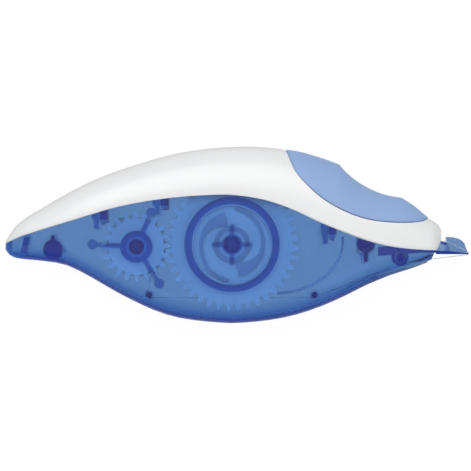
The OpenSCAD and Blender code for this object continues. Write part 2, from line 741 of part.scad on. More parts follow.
module takeup_gear() {
  color([0.93, 0.94, 0.95]) at_takeup(gear_z) difference() {
    rotate(mesh_angle - 180) linear_extrude(gear_t) polygon(gear_points(takeup_teeth));
    translate([0, 0, -1]) cylinder(r = takeup_sleeve_r + press_gap, h = gear_t + 2);
  }
}

module takeup_core() {
  color([0.9, 0.92, 0.95]) at_takeup(0)
    drum(takeup_axle_r + run_gap, takeup_sleeve_r, takeup_drum_r, used_r + takeup_lip, gear_z + gear_t);
}

module takeup_flange() {
  color([0.9, 0.92, 0.95]) at_takeup(flange_z)
    ring(used_r + takeup_lip, takeup_drum_r + press_gap, flange_t);
}

module takeup_tape() {
  color([0.85, 0.87, 0.88]) at_takeup(-tape_w / 2) ring(used_r, takeup_drum_r + press_gap, tape_w);
}

// Free film: it leaves the top of the fresh roll, runs over the tip,
// turns round the pressing edge and goes back under the guide posts to the used roll
film_off = film_gap + film_t / 2;
function outer_side(c0, r0, c1, r1, side) =
  atan2(c1.y - c0.y, c1.x - c0.x) + side * acos((r0 - r1) / norm(c1 - c0));
function arc(c, r, a0, a1, n) = [for (k = [0:n]) c + r * polar(mix(a0, a1, k / n))];
function unit(v) = v / norm(v);
function left_of(v) = [-v.y, v.x];
function bend(p, i) =
  let (
    a = i == 0 ? unit(p[1] - p[0]) : unit(p[i] - p[i - 1]),
    b = i == len(p) - 1 ? a : unit(p[i + 1] - p[i]),
    n = unit(left_of(a) + left_of(b))
  )
  n / max(0.5, n * left_of(a));
function ribbon(p, t) = concat(
  [for (i = [0:len(p) - 1]) p[i] + bend(p, i) * t / 2],
  [for (k = [1:len(p)]) let (i = len(p) - k) p[i] - bend(p, i) * t / 2]
);

neck_bend = [neck_front_x, neck_y + film_off];
wedge_bend = [fin_back_x, neck_y - wedge_fall + film_off];
edge_top = [edge_x + film_off, tip_low_y + edge_t + film_off];
edge_low = [edge_x + film_off, tip_low_y - film_off];
nose_sill = [shell_nose_x, nose_low.y + 0.4];
eye_sill = [tip_pin_at.x, tip_pin_at.y - tip_eye_r - 0.24];
sill_at = [nose_x - 17.4, low_y(nose_x - 17.4) + wall + 0.45];
channel_path = [nose_sill + [1.5, 0.2], nose_sill, eye_sill, sill_at];
channel_t = 0.9;
feed_start = (roll_r + film_off) * polar(outer_side([0, 0], roll_r + film_off, neck_bend, 0, 1));
feed_path = [feed_start, neck_bend, wedge_bend, edge_top];
function feed_y(x) = mix(feed_start.y, neck_bend.y, (x - feed_start.x) / (neck_bend.x - feed_start.x));
guide_r = guide_post_r + film_off;
return_in = outer_side(guide_ats[0], guide_r, sill_at, 0, -1);
used_reach = norm(takeup_at - guide_ats[1]);
used_turn = atan2(takeup_at.y - guide_ats[1].y, takeup_at.x - guide_ats[1].x);
return_out = used_turn + acos((guide_r + used_r + film_off) / used_reach);
return_path = concat(
  [edge_top + [0, -film_t], edge_low, nose_sill, eye_sill, sill_at],
  arc(guide_ats[0], guide_r, return_in, -90, 3),
  arc(guide_ats[1], guide_r, 270, return_out, 5),
  [takeup_at + (used_r + film_off) * polar(return_out - 180)]
);

module film(path) at_level(-tape_w / 2) linear_extrude(tape_w) polygon(ribbon(path, film_t));

module tape_feed() {
  color([0.97, 0.97, 0.96]) film(feed_path);
}

module tape_return() {
  color([0.85, 0.88, 0.9]) film(return_path);
}

near_shell();
far_shell();
top_cover();
finger_grip();
applicator_tip();
supply_gear();
clutch_spring();
supply_core();
supply_flange();
supply_tape();
takeup_gear();
takeup_core();
takeup_flange();
takeup_tape();
tape_feed();
tape_return();
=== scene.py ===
import json
import math

import bmesh
import bpy
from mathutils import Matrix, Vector

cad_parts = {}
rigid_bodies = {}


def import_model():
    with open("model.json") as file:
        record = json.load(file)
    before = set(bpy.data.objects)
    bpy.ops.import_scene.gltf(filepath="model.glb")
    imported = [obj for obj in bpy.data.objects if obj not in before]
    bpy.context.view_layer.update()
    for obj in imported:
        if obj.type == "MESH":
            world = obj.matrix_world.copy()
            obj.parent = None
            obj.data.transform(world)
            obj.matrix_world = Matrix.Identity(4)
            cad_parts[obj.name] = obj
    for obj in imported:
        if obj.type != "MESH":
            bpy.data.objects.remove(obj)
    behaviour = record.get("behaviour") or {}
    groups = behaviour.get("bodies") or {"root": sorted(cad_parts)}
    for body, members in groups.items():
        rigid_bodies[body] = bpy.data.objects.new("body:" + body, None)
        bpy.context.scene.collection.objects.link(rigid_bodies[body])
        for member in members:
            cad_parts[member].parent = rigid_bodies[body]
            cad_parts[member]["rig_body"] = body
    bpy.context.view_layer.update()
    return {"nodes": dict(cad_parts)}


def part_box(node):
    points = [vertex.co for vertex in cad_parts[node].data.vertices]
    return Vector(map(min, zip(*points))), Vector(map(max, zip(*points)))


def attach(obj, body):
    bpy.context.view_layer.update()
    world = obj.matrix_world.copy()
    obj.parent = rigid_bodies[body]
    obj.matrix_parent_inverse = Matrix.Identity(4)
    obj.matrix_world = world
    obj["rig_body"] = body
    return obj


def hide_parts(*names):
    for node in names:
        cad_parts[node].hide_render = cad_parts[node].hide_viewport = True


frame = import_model()
nodes = frame["nodes"]

# The outline and its shares repeat the solids; lengths here are millimetres
MM = 0.001
low_corner, high_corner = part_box("near_shell")
HALF_W = high_corner.z / MM / 2
TAIL_X = low_corner.x / MM
NOSE_LEAN = 0.6
SHELL_NOSE_X = high_corner.x / MM - NOSE_LEAN
NOSE_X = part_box("top_cover")[1].x / MM
CREST_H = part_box("top_cover")[1].y / MM
BELLY_Y = low_corner.y / MM
SEAM_H = high_corner.y / MM
takeup_low, takeup_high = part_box("takeup_gear")
TAKEUP_AT = (
    (takeup_low.x + takeup_high.x) / 2 / MM,
    (takeup_low.y + takeup_high.y) / 2 / MM,
)

WALL = 1.4
COVER_WALL = 1.6
COVER_STEP = 0.0
SEAM_GAP = 0.1
GRIP_T = 1.3
GRIP_GAP = 0.1
LINE_GAP = 0.45
BELLY_ROUND = 6.5
NOSE_HALF_W = 4.4
TAIL_HALF_W = 4.2
TAIL_ROUND = 7.0
NOSE_ROUND = 3.0
FLAT_BACK_X = TAKEUP_AT[0] - 6
FLAT_FRONT_X = 24.0
CROWN_POWER = 2.3
TAPE_HALF_W = (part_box("tape_feed")[1].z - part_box("tape_feed")[0].z) / MM / 2
TIP_GAP = 0.3
TIP_HALF_W = TAPE_HALF_W + TIP_GAP

SCOOP_LEN = 16.7
SCOOP_FALL = 8.9
SCOOP_DEEP = 1.9
CREST = (1.5, CREST_H)
SEAM_CREST = (-3.0, SEAM_H)
BELLY = (-1.0, BELLY_Y)
NOSE_TOP = (NOSE_X, 4.0)
NOSE_SEAM = (SHELL_NOSE_X + NOSE_LEAN, -1.6)
NOSE_LOW = (SHELL_NOSE_X, -4.3)
SCOOP_BACK = (NOSE_X - 27.3, CREST_H - 4.7)
SCOOP_FRONT = (SCOOP_BACK[0] + SCOOP_LEN, SCOOP_BACK[1] - SCOOP_FALL)
GRIP_X = (NOSE_X - 41.5, NOSE_X - 3.5)
GRIP_LOW_Y = 6.2

BACK_SHAPE = [(0, 0), (0.05, 0.17), (0.155, 0.345), (0.36, 0.622), (0.57, 0.815), (0.78, 0.948), (1, 1)]
ARCH_SHAPE = [(0.32, 0.06), (0.61, 0.277), (0.85, 0.68), (1, 1)]
BEAK_SHAPE = [(0, 0), (0.32, 0.256), (0.67, 0.616), (0.92, 0.85), (1, 1)]
SEAM_BACK_SHAPE = [(0, 0), (0.085, 0.16), (0.31, 0.47), (0.53, 0.754), (0.75, 0.923), (1, 1)]
SEAM_FRONT_SHAPE = [(0.12, 0.034), (0.23, 0.122), (0.345, 0.285), (0.455, 0.486), (0.57, 0.669),
                    (0.68, 0.824), (0.79, 0.932), (0.905, 0.986), (1, 1)]
LOW_BACK_SHAPE = [(0, 0), (0.02, 0.07), (0.055, 0.11), (0.163, 0.144), (0.27, 0.2), (0.378, 0.36),
                  (0.487, 0.554), (0.594, 0.723), (0.7, 0.86), (0.81, 0.944), (1, 1)]
LOW_FRONT_SHAPE = [(0.088, 0.01), (0.205, 0.05), (0.322, 0.125), (0.44, 0.249), (0.559, 0.414),
                   (0.676, 0.604), (0.793, 0.763), (0.912, 0.888), (1, 1)]
GRIP_SHAPE = [(0, 1), (0.055, 0.74), (0.14, 0.53), (0.27, 0.31), (0.44, 0.13), (0.6, 0.035),
              (0.8, 0), (0.945, 0.016), (1, 0.055)]


def mix(a, b, t):
    return a + (b - a) * t


def stretch(a, b, shape):
    return [(mix(a[0], b[0], u), mix(a[1], b[1], v)) for u, v in shape]


def curve(points, x):
    """Smooth curve through points, read at x."""
    last = len(points) - 1
    x = min(max(x, points[0][0]), points[last][0])
    i = 0
    while i < last - 1 and x >= points[i + 1][0]:
        i += 1

    def slope(k):
        a, b = points[max(k - 1, 0)], points[min(k + 1, last)]
        return (b[1] - a[1]) / (b[0] - a[0])

    h = points[i + 1][0] - points[i][0]
    t = (x - points[i][0]) / h
    rise = points[i + 1][1] - points[i][1]
    m0, m1 = slope(i) * h, slope(i + 1) * h
    return points[i][1] + t * m0 + t * t * (3 * rise - 2 * m0 - m1) + t ** 3 * (m0 + m1 - 2 * rise)


TOP_LINE = stretch((TAIL_X, 1.0), CREST, BACK_SHAPE) + stretch(CREST, SCOOP_BACK, ARCH_SHAPE)
BEAK_LINE = stretch(SCOOP_FRONT, NOSE_TOP, BEAK_SHAPE)
SEAM_LINE = (stretch((TAIL_X, 0.2), SEAM_CREST, SEAM_BACK_SHAPE)
             + stretch(SEAM_CREST, NOSE_SEAM, SEAM_FRONT_SHAPE))
LOW_LINE = stretch((TAIL_X, -1.6), BELLY, LOW_BACK_SHAPE) + stretch(BELLY, NOSE_LOW, LOW_FRONT_SHAPE)

CHORD = math.hypot(SCOOP_LEN, SCOOP_FALL)
SCOOP_R = ((CHORD / 2) ** 2 + SCOOP_DEEP ** 2) / (2 * SCOOP_DEEP)
SCOOP_AT = (
    (SCOOP_BACK[0] + SCOOP_FRONT[0]) / 2 + (SCOOP_R - SCOOP_DEEP) * SCOOP_FALL / CHORD,
    (SCOOP_BACK[1] + SCOOP_FRONT[1]) / 2 + (SCOOP_R - SCOOP_DEEP) * SCOOP_LEN / CHORD,
)


def top_y(x):
    if x <= SCOOP_BACK[0]:
        return curve(TOP_LINE, x)
    if x < SCOOP_FRONT[0]:
        return SCOOP_AT[1] - math.sqrt(SCOOP_R ** 2 - (x - SCOOP_AT[0]) ** 2)
    return curve(BEAK_LINE, x)


def low_y(x):
    return curve(LOW_LINE, x)


def seam_y(x):
    return curve(SEAM_LINE, x)


def cover_low_y(x):
    """The cover's lower edge follows the seam, then turns up round the nose."""
    t = min(1.0, max(0.0, (x - NOSE_SEAM[0]) / (NOSE_X - NOSE_SEAM[0])))
    return seam_y(x) + (NOSE_TOP[1] - 0.8 - NOSE_SEAM[1]) * (1 - math.sqrt(1 - t * t))


def end_round(run, length, left):
    t = max(0.0, 1 - run / length)
    return math.sqrt(max(0.0, 1 - (1 - left * left) * t * t))


def half_width(x):
    if x > FLAT_FRONT_X:
        taper = (HALF_W - NOSE_HALF_W) * ((x - FLAT_FRONT_X) / (NOSE_X - FLAT_FRONT_X)) ** 1.8
    elif x < FLAT_BACK_X:
        taper = (HALF_W - TAIL_HALF_W) * ((FLAT_BACK_X - x) / (FLAT_BACK_X - TAIL_X)) ** 1.8
    else:
        taper = 0.0
    ends = end_round(x - TAIL_X, TAIL_ROUND, 0.3) * end_round(NOSE_X - x, NOSE_ROUND, 0.6)
    return (HALF_W - taper) * ends


def power(value, exponent):
    return math.copysign(abs(value) ** exponent, value)


def crown_point(x, inset, a):
    """A point on the cover's arch; a runs from -90 to 90 degrees over the crest."""
    w = half_width(x) - COVER_STEP - inset
    y0 = cover_low_y(x) + SEAM_GAP
    h = top_y(x) - inset - y0
    a = math.radians(a)
    return (y0 + h * max(0.0, math.cos(a)) ** (2 / CROWN_POWER), w * power(math.sin(a), 2 / CROWN_POWER))


# Meshes
def add_object(name, points, faces):
    """A new piece from points in millimetres, smooth, with its sharp edges kept."""
    mesh = bpy.data.meshes.new(name)
    mesh.from_pydata([Vector(p) * MM for p in points], [], faces)
    return finish_mesh(name, mesh, True)


WELD = 2e-7
SHARP_ANGLE = math.radians(32)


def finish_mesh(name, mesh, turn_out):
    work = bmesh.new()
    work.from_mesh(mesh)
    bmesh.ops.remove_doubles(work, verts=work.verts, dist=WELD)
    if turn_out:
        bmesh.ops.dissolve_degenerate(work, edges=work.edges, dist=WELD)
        bmesh.ops.recalc_face_normals(work, faces=work.faces)
    work.to_mesh(mesh)
    work.free()
    mesh.shade_smooth()
    mesh.set_sharp_from_angle(angle=SHARP_ANGLE)
    piece = bpy.data.objects.new(name, mesh)
    bpy.context.scene.collection.objects.link(piece)
    return piece


def refined(node, name, part):
    """A copy of a solid, welded and smooth, with its faces at the middle plane drawn back by part."""
    mesh = nodes[node].data.copy()
    mesh.materials.clear()
    for corner in mesh.vertices:
        if abs(corner.co.z - HALF_W * MM) < WELD:
            corner.co.z += part * MM
    return finish_mesh(name, mesh, False)


def dress(piece, material):
    piece.data.materials.clear()
    piece.data.materials.append(material)


def stand_for(piece, node, material):
    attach(piece, nodes[node]["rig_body"])
    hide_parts(node)
    dress(piece, material)


def loft(name, rings):
    """Closed tube over rings of points, with a face at each end."""
    n = len(rings[0])
    faces = []
    for i in range(len(rings) - 1):
        for j in range(n):
            k = (j + 1) % n
            faces.append((i * n + j, (i + 1) * n + j, (i + 1) * n + k, i * n + k))
    faces.append(tuple(range(n)))
    faces.append(tuple(range((len(rings) - 1) * n, len(rings) * n)))
    return add_object(name, [p for ring in rings for p in ring], faces)


# Materials
def new_material(name):
    material = bpy.data.materials.new(name)
    material.use_nodes = True
    tree = material.node_tree
    return material, tree, tree.nodes["Principled BSDF"]


def add_noise(tree, scale, detail):
    place = tree.nodes.new("ShaderNodeTexCoord")
    noise = tree.nodes.new("ShaderNodeTexNoise")
    noise.inputs["Scale"].default_value = scale
    noise.inputs["Detail"].default_value = detail
    tree.links.new(place.outputs["Object"], noise.inputs["Vector"])
    return noise.outputs["Fac"]


def add_range(tree, value, low, high, start=0, end=1):
    ramp = tree.nodes.new("ShaderNodeMapRange")
    ramp.inputs["From Min"].default_value = start
    ramp.inputs["From Max"].default_value = end
    ramp.inputs["To Min"].default_value = low
    ramp.inputs["To Max"].default_value = high
    tree.links.new(value, ramp.inputs["Value"])
    return ramp.outputs["Result"]


def add_bump(tree, shader, value, distance, strength):
    bump = tree.nodes.new("ShaderNodeBump")
    bump.inputs["Distance"].default_value = distance
    bump.inputs["Strength"].default_value = strength
    tree.links.new(value, bump.inputs["Height"])
    tree.links.new(bump.outputs["Normal"], shader.inputs["Normal"])


def add_tint(tree, shader, value, dark, light):
    ramp = tree.nodes.new("ShaderNodeValToRGB")
    ramp.color_ramp.elements[0].color = (*dark, 1)
    ramp.color_ramp.elements[1].color = (*light, 1)
    tree.links.new(value, ramp.inputs["Fac"])
    tree.links.new(ramp.outputs["Color"], shader.inputs["Base Color"])


# Painted shade: ribs, bosses and catches of the near half are darkened towards this blue in their base
# colour, by rings of set darkness round each axle
RIB_PAINTED_SHADE = (0.07, 0.3, 0.7, 1)
RIB_SPAN = 13.0
RIB_SHADES = (
    ((0, 0), ((0, 0.32), (0.9, 0.75), (2.65, 0.42), (10.5, 0.68), (RIB_SPAN, 1))),
    (TAKEUP_AT, ((0, 0.32), (2.7, 0.75), (4.25, 0.45), (9.4, 0.95), (RIB_SPAN, 1))),
)


def add_product(tree, a, b):
    product = tree.nodes.new("ShaderNodeMath")
    product.operation = "MULTIPLY"
    tree.links.new(a, product.inputs[0])
    tree.links.new(b, product.inputs[1])
    return product.outputs[0]


def add_attribute(tree, name):
    node = tree.nodes.new("ShaderNodeAttribute")
    node.attribute_name = name
    return node.outputs["Fac"]


def clear_plastic(name, absorb, density, rough, slotted):
    """Moulded clear plastic: the colour deepens with the path through it; marked ribs get painted shade in
    their base colour, and marked faces let less light through as a painted highlight.
    """
    material, tree, shader = new_material(name)
    place = tree.nodes.new("ShaderNodeTexCoord")
    flat = tree.nodes.new("ShaderNodeVectorMath")
    flat.operation = "MULTIPLY"
    flat.inputs[1].default_value = (1, 1, 0)
    tree.links.new(place.outputs["Object"], flat.inputs[0])
    # Painted shade: the rib mark times the rings round each axle mixes the base colour towards the dark rib
    # blue
    deep = add_attribute(tree, "rib")
    for (x, y), shades in RIB_SHADES:
        away = tree.nodes.new("ShaderNodeVectorMath")
        away.operation = "DISTANCE"
        away.inputs[1].default_value = (x * MM, y * MM, 0)
        tree.links.new(flat.outputs["Vector"], away.inputs[0])
        rings = tree.nodes.new("ShaderNodeValToRGB")
        rings.color_ramp.interpolation = "CONSTANT"
        stops = rings.color_ramp.elements
        for out, shade in shades[:-1]:
            stops.new(out / RIB_SPAN).color = (shade, shade, shade, 1)
        stops.remove(stops[0])
        stops[-1].color = (1, 1, 1, 1)
        tree.links.new(add_range(tree, away.outputs["Value"], 0, 1, 0, RIB_SPAN * MM), rings.inputs["Fac"])
        deep = add_product(tree, deep, rings.outputs["Color"])
    tint = tree.nodes.new("ShaderNodeMix")
    tint.data_type = "RGBA"
    tint.inputs["A"].default_value = (0.82, 0.92, 1, 1)
    tint.inputs["B"].default_value = RIB_PAINTED_SHADE
    tree.links.new(deep, tint.inputs["Factor"])
    tree.links.new(tint.outputs["Result"], shader.inputs["Base Color"])
    flow = add_noise(tree, 220, 2)
    # Painted highlight: faces marked pale on the far half's low wall let less light through and show the pale
    # base colour as a light streak
    clear = add_range(tree, add_attribute(tree, "pale"), 0.97, 0.35)
    tree.links.new(clear, shader.inputs["Transmission Weight"])
    shader.inputs["IOR"].default_value = 1.1
    if slotted:
        tree.links.new(add_range(tree, add_attribute(tree, "slot"), 1.1, 1.0), shader.inputs["IOR"])
    shader.inputs["Coat Weight"].default_value = 0.25
    shader.inputs["Coat Roughness"].default_value = 0.1
    tree.links.new(add_range(tree, flow, rough * 0.7, rough * 1.3), shader.inputs["Roughness"])
    add_bump(tree, shader, flow, 0.00002, 0.15)
    depth = tree.nodes.new("ShaderNodeVolumeAbsorption")
    depth.inputs["Color"].default_value = (*absorb, 1)
    depth.inputs["Density"].default_value = density
    tree.links.new(depth.outputs["Volume"], tree.nodes["Material Output"].inputs["Volume"])
    return material


def moulded_plastic(name, dark, light, rough, grain, bump):
    """Opaque moulded plastic with a fine surface grain and faint flow shades."""
    material, tree, shader = new_material(name)
    add_tint(tree, shader, add_noise(tree, 60, 3), dark, light)
    fine = add_noise(tree, grain, 4)
    tree.links.new(add_range(tree, fine, rough * 0.85, rough * 1.15), shader.inputs["Roughness"])
    add_bump(tree, shader, fine, bump, 0.3)
    return material, shader


blue = clear_plastic("clear_blue", (0.2, 0.56, 0.89), 720, 0.012, True)
far_blue = clear_plastic("clear_blue_far", (0.2, 0.56, 0.89), 720, 0.04, True)
tip_blue = clear_plastic("clear_blue_tip", (0.18, 0.47, 0.87), 950, 0.03, False)
white, white_shader = moulded_plastic(
    "white_gloss", (0.84, 0.845, 0.855), (0.87, 0.875, 0.88), 0.32, 2600, 0.00001)
white_shader.inputs["Coat Weight"].default_value = 0.25
white_shader.inputs["Coat Roughness"].default_value = 0.12
# Painted shade: the white cover's hooks are drawn in a darker blue, standing in for the blue shade inside the
# casing
hook_painted_shade, _ = moulded_plastic(
    "hook_painted_shade", (0.24, 0.38, 0.74), (0.27, 0.41, 0.77), 0.4, 1800, 0.00001)
grip_rubber, grip_shader = moulded_plastic(
    "soft_grip", (0.27, 0.415, 0.71), (0.3, 0.445, 0.745), 0.62, 3800, 0.00003)
grip_shader.inputs["Sheen Weight"].default_value = 0.15
natural, _ = moulded_plastic(
    "natural_white", (0.8, 0.82, 0.85), (0.84, 0.86, 0.88), 0.4, 1800, 0.00001)
# Painted shade: the clutch spring is drawn in a darker blue-grey than the white gears, standing in for the
# shade on its arms
spring, _ = moulded_plastic(
    "spring_painted_shade", (0.36, 0.44, 0.59), (0.41, 0.49, 0.64), 0.4, 1800, 0.00001)
coated, _ = moulded_plastic(
    "coated_film", (0.86, 0.86, 0.84), (0.9, 0.9, 0.88), 0.6, 3000, 0.00001)
bare, bare_shader = moulded_plastic(
    "bare_film", (0.72, 0.75, 0.79), (0.78, 0.81, 0.84), 0.3, 900, 0.00001)
bare_shader.inputs["Alpha"].default_value = 0.8


# White cover: an arch with a pocket for the grip, closed over its inside
def steps(a, b, count):
    return [a + (b - a) * k / count for k in range(count)]


GRIP_LINE = [(mix(GRIP_X[0], GRIP_X[1], u), mix(GRIP_LOW_Y, top_y(GRIP_X[0]), v)) for u, v in GRIP_SHAPE]


def grip_angle(x, drop):
    """Half angle of the arch that the grip covers at x, 0 outside it."""
    if not GRIP_X[0] - drop < x < GRIP_X[1] + drop:
        return 0.0
    y0 = cover_low_y(x) + SEAM_GAP
    share = (curve(GRIP_LINE, x) - drop - y0) / (top_y(x) - y0)
    return math.degrees(math.acos(min(1.0, max(0.0, share) ** (CROWN_POWER / 2))))


SIDE_COLUMNS = 26
FLOOR_COLUMNS = 12
CAVITY_COLUMNS = 48
GRIP_LEAD = 4.0
CAVITY_X = (TAIL_X + 3.4, NOSE_X - 4.6)
SLOT_X = NOSE_X - 18.0
SLOT_HALF_W = TIP_HALF_W + TIP_GAP
SLOT_TOP = ((SLOT_X, 5.3), (NOSE_X, 1.3))


def cover_inset(x):
    """Wall of the cover, thicker under the grip."""
    return COVER_WALL + GRIP_T * min(1.0, max(0.0, (x - GRIP_X[0] + GRIP_LEAD) / GRIP_LEAD))


def cavity_reach(x, turn):
    """How far the hollow under the cover reaches from its lower middle, along a turn from straight up."""
    y0 = cover_low_y(x) + SEAM_GAP
    up, side = abs(math.cos(turn)) + 1e-6, abs(math.sin(turn)) + 1e-6
    reach = 0.0
    if CAVITY_X[0] < x < CAVITY_X[1]:
        h = top_y(x) - cover_inset(x) - y0
        w = half_width(x) - COVER_STEP - cover_inset(x)
        reach = ((up / h) ** CROWN_POWER + (side / w) ** CROWN_POWER) ** (-1 / CROWN_POWER)
    if x > SLOT_X:
        (xa, ya), (xb, yb) = SLOT_TOP
        slot_h = mix(ya, yb, (x - xa) / (xb - xa)) - y0
        reach = max(reach, min(SLOT_HALF_W / side, max(0.0, slot_h) / up))
    return reach


def cover_ring(x):
    a = grip_angle(x, LINE_GAP)
    deep = GRIP_T + GRIP_GAP if a > 0 else 0.0
    side = [mix(-90, -a, k / SIDE_COLUMNS) for k in range(SIDE_COLUMNS + 1)]
    floor = [mix(-a, a, k / FLOOR_COLUMNS) for k in range(FLOOR_COLUMNS + 1)]
    ring = [crown_point(x, RIM_FILLET if b == -90 else 0, b) for b in side]
    ring += [crown_point(x, deep, b) for b in floor]
    ring += [crown_point(x, RIM_FILLET if b == -90 else 0, -b) for b in reversed(side)]
    y0 = cover_low_y(x) + SEAM_GAP
    for k in range(CAVITY_COLUMNS + 1):
        turn = mix(math.pi / 2, -math.pi / 2, k / CAVITY_COLUMNS)
        reach = cavity_reach(x, turn)
        ring.append((y0 + reach * math.cos(turn), reach * math.sin(turn)))
    return [(x, y, HALF_W + z) for y, z in ring]


RIM_FILLET = 0.2
HAIR = 0.01
COVER_STATIONS = (
    steps(TAIL_X, TAIL_X + 1.5, 8) + steps(TAIL_X + 1.5, CAVITY_X[0], 6) + [CAVITY_X[0]]
    + steps(CAVITY_X[0] + HAIR, TAIL_X + TAIL_ROUND, 6)
    + steps(TAIL_X + TAIL_ROUND, GRIP_X[0] - GRIP_GAP, 60)
    + steps(GRIP_X[0] - GRIP_GAP, GRIP_X[0] + 3, 24) + steps(GRIP_X[0] + 3, SCOOP_BACK[0], 22)
    + steps(SCOOP_BACK[0], SLOT_X, 16) + [SLOT_X] + steps(SLOT_X + HAIR, SCOOP_FRONT[0], 14)
    + steps(SCOOP_FRONT[0], CAVITY_X[1], 10) + [CAVITY_X[1] - HAIR] + steps(CAVITY_X[1], GRIP_X[1] - 1, 3)
    + steps(GRIP_X[1] - 1, GRIP_X[1] + GRIP_GAP, 10) + steps(GRIP_X[1] + GRIP_GAP, NOSE_X - 0.5, 14)
    + steps(NOSE_X - 0.5, NOSE_X, 8) + [NOSE_X]
)
cover = loft("saddle_cover", [cover_ring(x) for x in COVER_STATIONS])
stand_for(cover, "top_cover", white)

# Snap hooks that hang from the cover, one pair at each catch of the casing, drawn in painted blue shade
CATCH_XS = (TAKEUP_AT[0] - 11.8, TAKEUP_AT[0] + 4.4, NOSE_X - 32.3)
CATCH = (4.1, 1.2)
CATCH_DROP = 0.1
CATCH_DEEP = 0.9
STEM_END = 1.8
HOOK_GAP = 0.3
HOOK_W = CATCH[0] - STEM_END - 2 * HOOK_GAP
HOOK_T = 1.0
HOOK = 0.7
HOOK_ROOT = 2.6
SEAT = 0.4


def hook_middle(x):
    return x + STEM_END + HOOK_GAP + HOOK_W / 2


def hook_outline(x):
    """Outline of a hook across the part, as height and depth."""
    mid = hook_middle(x)
    low = min(seam_y(x), seam_y(x + CATCH[0])) - CATCH_DROP - CATCH[1] - SEAM_GAP - HOOK
    shelf = max(seam_y(mid - HOOK_W / 2), seam_y(mid + HOOK_W / 2)) + 2 * SEAM_GAP
    top = seam_y(mid) + HOOK_ROOT
    z0 = half_width(mid) - WALL - CATCH_DEEP - GRIP_GAP - HOOK_T
    z1 = z0 + HOOK_T
    root_z = half_width(mid) - COVER_WALL + SEAT
    return [(low, z0), (low, z1), (low + HOOK, z1 + HOOK), (low + HOOK, z1), (shelf, z1), (shelf, root_z),
            (top, root_z), (top, z0)]


for number, x in enumerate(CATCH_XS, 1):
    mid = hook_middle(x)
    for label, way in (("near", 1), ("far", -1)):
        hook = loft(f"cover_hook_{number}_{label}", [
            [(end, y, HALF_W + way * z) for y, z in hook_outline(x)]
            for end in (mid - HOOK_W / 2, mid + HOOK_W / 2)])
        stand_for(hook, "top_cover", hook_painted_shade)

# Soft grip: a pad over the crest with a rounded rim
GRIP_COLUMNS = 28
RIM = 0.3


def grip_ring(x):
    a = max(0.4, grip_angle(x, 0))
    outer = []
    for k in range(GRIP_COLUMNS + 1):
        b = mix(-a, a, k / GRIP_COLUMNS)
        arc = (a - abs(b)) * math.pi / 180 * half_width(x)
        drop = RIM - math.sqrt(max(0.0, RIM ** 2 - max(0.0, RIM - arc) ** 2))
        outer.append(crown_point(x, drop, b))
    inner = [crown_point(x, GRIP_T, mix(a, -a, k / GRIP_COLUMNS)) for k in range(GRIP_COLUMNS + 1)]
    return [(x, y, HALF_W + z) for y, z in outer + inner]


GRIP_STATIONS = (
    steps(GRIP_X[0] + 0.02, GRIP_X[0] + 3, 24) + steps(GRIP_X[0] + 3, SCOOP_BACK[0], 24)
    + steps(SCOOP_BACK[0], SCOOP_FRONT[0], 36) + steps(SCOOP_FRONT[0], GRIP_X[1] - 1, 16)
    + steps(GRIP_X[1] - 1, GRIP_X[1] - 0.02, 12) + [GRIP_X[1] - 0.02]
)
grip = loft("grip_pad", [grip_ring(x) for x in GRIP_STATIONS])
stand_for(grip, "finger_grip", grip_rubber)

# Clear casing halves and tip, from their solids
PART_GAP = 0.03
RIB_RISE = 0.2
AXLE_REACH = 2.4
AXLE_CUT = 4.0
CATCH_REACH = 6.5
CHAMBER_AT = (12, 1.2)
CHAMBER_R = (17.7, 14.3)
CHAMBER_H = 2.6
CHAMBER_TOP = WALL + CHAMBER_H


def rib_shade_mask(at):
    """Mask of painted shade: 1 at a place on a rib or catch of the near half, 0 on its wall."""
    if at.z - HALF_W > half_width(at.x) - WALL - RIB_RISE:
        return 0.0
    if at.y < low_y(at.x) + BELLY_ROUND:
        return 0.0
    for x, y in ((0, 0), TAKEUP_AT):
        if math.hypot(at.x - x, at.y - y) < RIB_SPAN:
            return 1.0
    if at.y > seam_y(at.x) - CATCH_REACH and any(0 < at.x - x + SEAT < CATCH[0] + 2 * SEAT for x in CATCH_XS):
        return 1.0
    return 0.0


def on_chamber(face):
    """Whether a face lies on the low wall in front of the fresh roll, where a painted highlight goes."""
    at = face.center / MM
    share = math.hypot((at.x - CHAMBER_AT[0]) / CHAMBER_R[0], (at.y - CHAMBER_AT[1]) / CHAMBER_R[1])
    return (at.x > CHAMBER_AT[0] - 0.1 and at.y < CHAMBER_AT[1] + 2 and abs(share - 1) < 0.1
            and -1.4 < at.z - CHAMBER_TOP < 0.2)


def in_slot(face):
    """Whether a face lies in the slot that leads the used film in at the nose."""
    at = face.center / MM
    return (SLOT_X - 1 < at.x and abs(at.z - HALF_W) < SLOT_HALF_W and abs(face.normal.z) < 0.2
            and 0.1 < at.y - low_y(at.x) < WALL + 0.5)


def shorten_axle(piece):
    """Draws the fresh reel's axle back at its hidden end, so that it lets more light through."""
    for corner in piece.data.vertices:
        x, y, z = corner.co / MM
        if z > HALF_W and math.hypot(x, y) < AXLE_REACH:
            corner.co.z -= AXLE_CUT * MM


def mark_faces(piece, name, value):
    marks = piece.data.attributes.new(name, "FLOAT", "FACE")
    for face, mark in zip(piece.data.polygons, marks.data):
        mark.value = value(face)


for node, name, material, part in (
    ("near_shell", "casing_near", blue, PART_GAP),
    ("far_shell", "casing_far", far_blue, -PART_GAP),
    ("applicator_tip", "pressing_tip", tip_blue, 0),
):
    piece = refined(node, name, part)
    if node == "near_shell":
        # Painted shade on the near half's ribs and catches
        mark_faces(piece, "rib", lambda face: rib_shade_mask(face.center / MM))
    if node == "far_shell":
        # Painted highlight along the low wall in front of the fresh roll
        mark_faces(piece, "pale", lambda face: float(on_chamber(face)))
        shorten_axle(piece)
    if node != "applicator_tip":
        mark_faces(piece, "slot", lambda face: float(in_slot(face)))
    stand_for(piece, node, material)

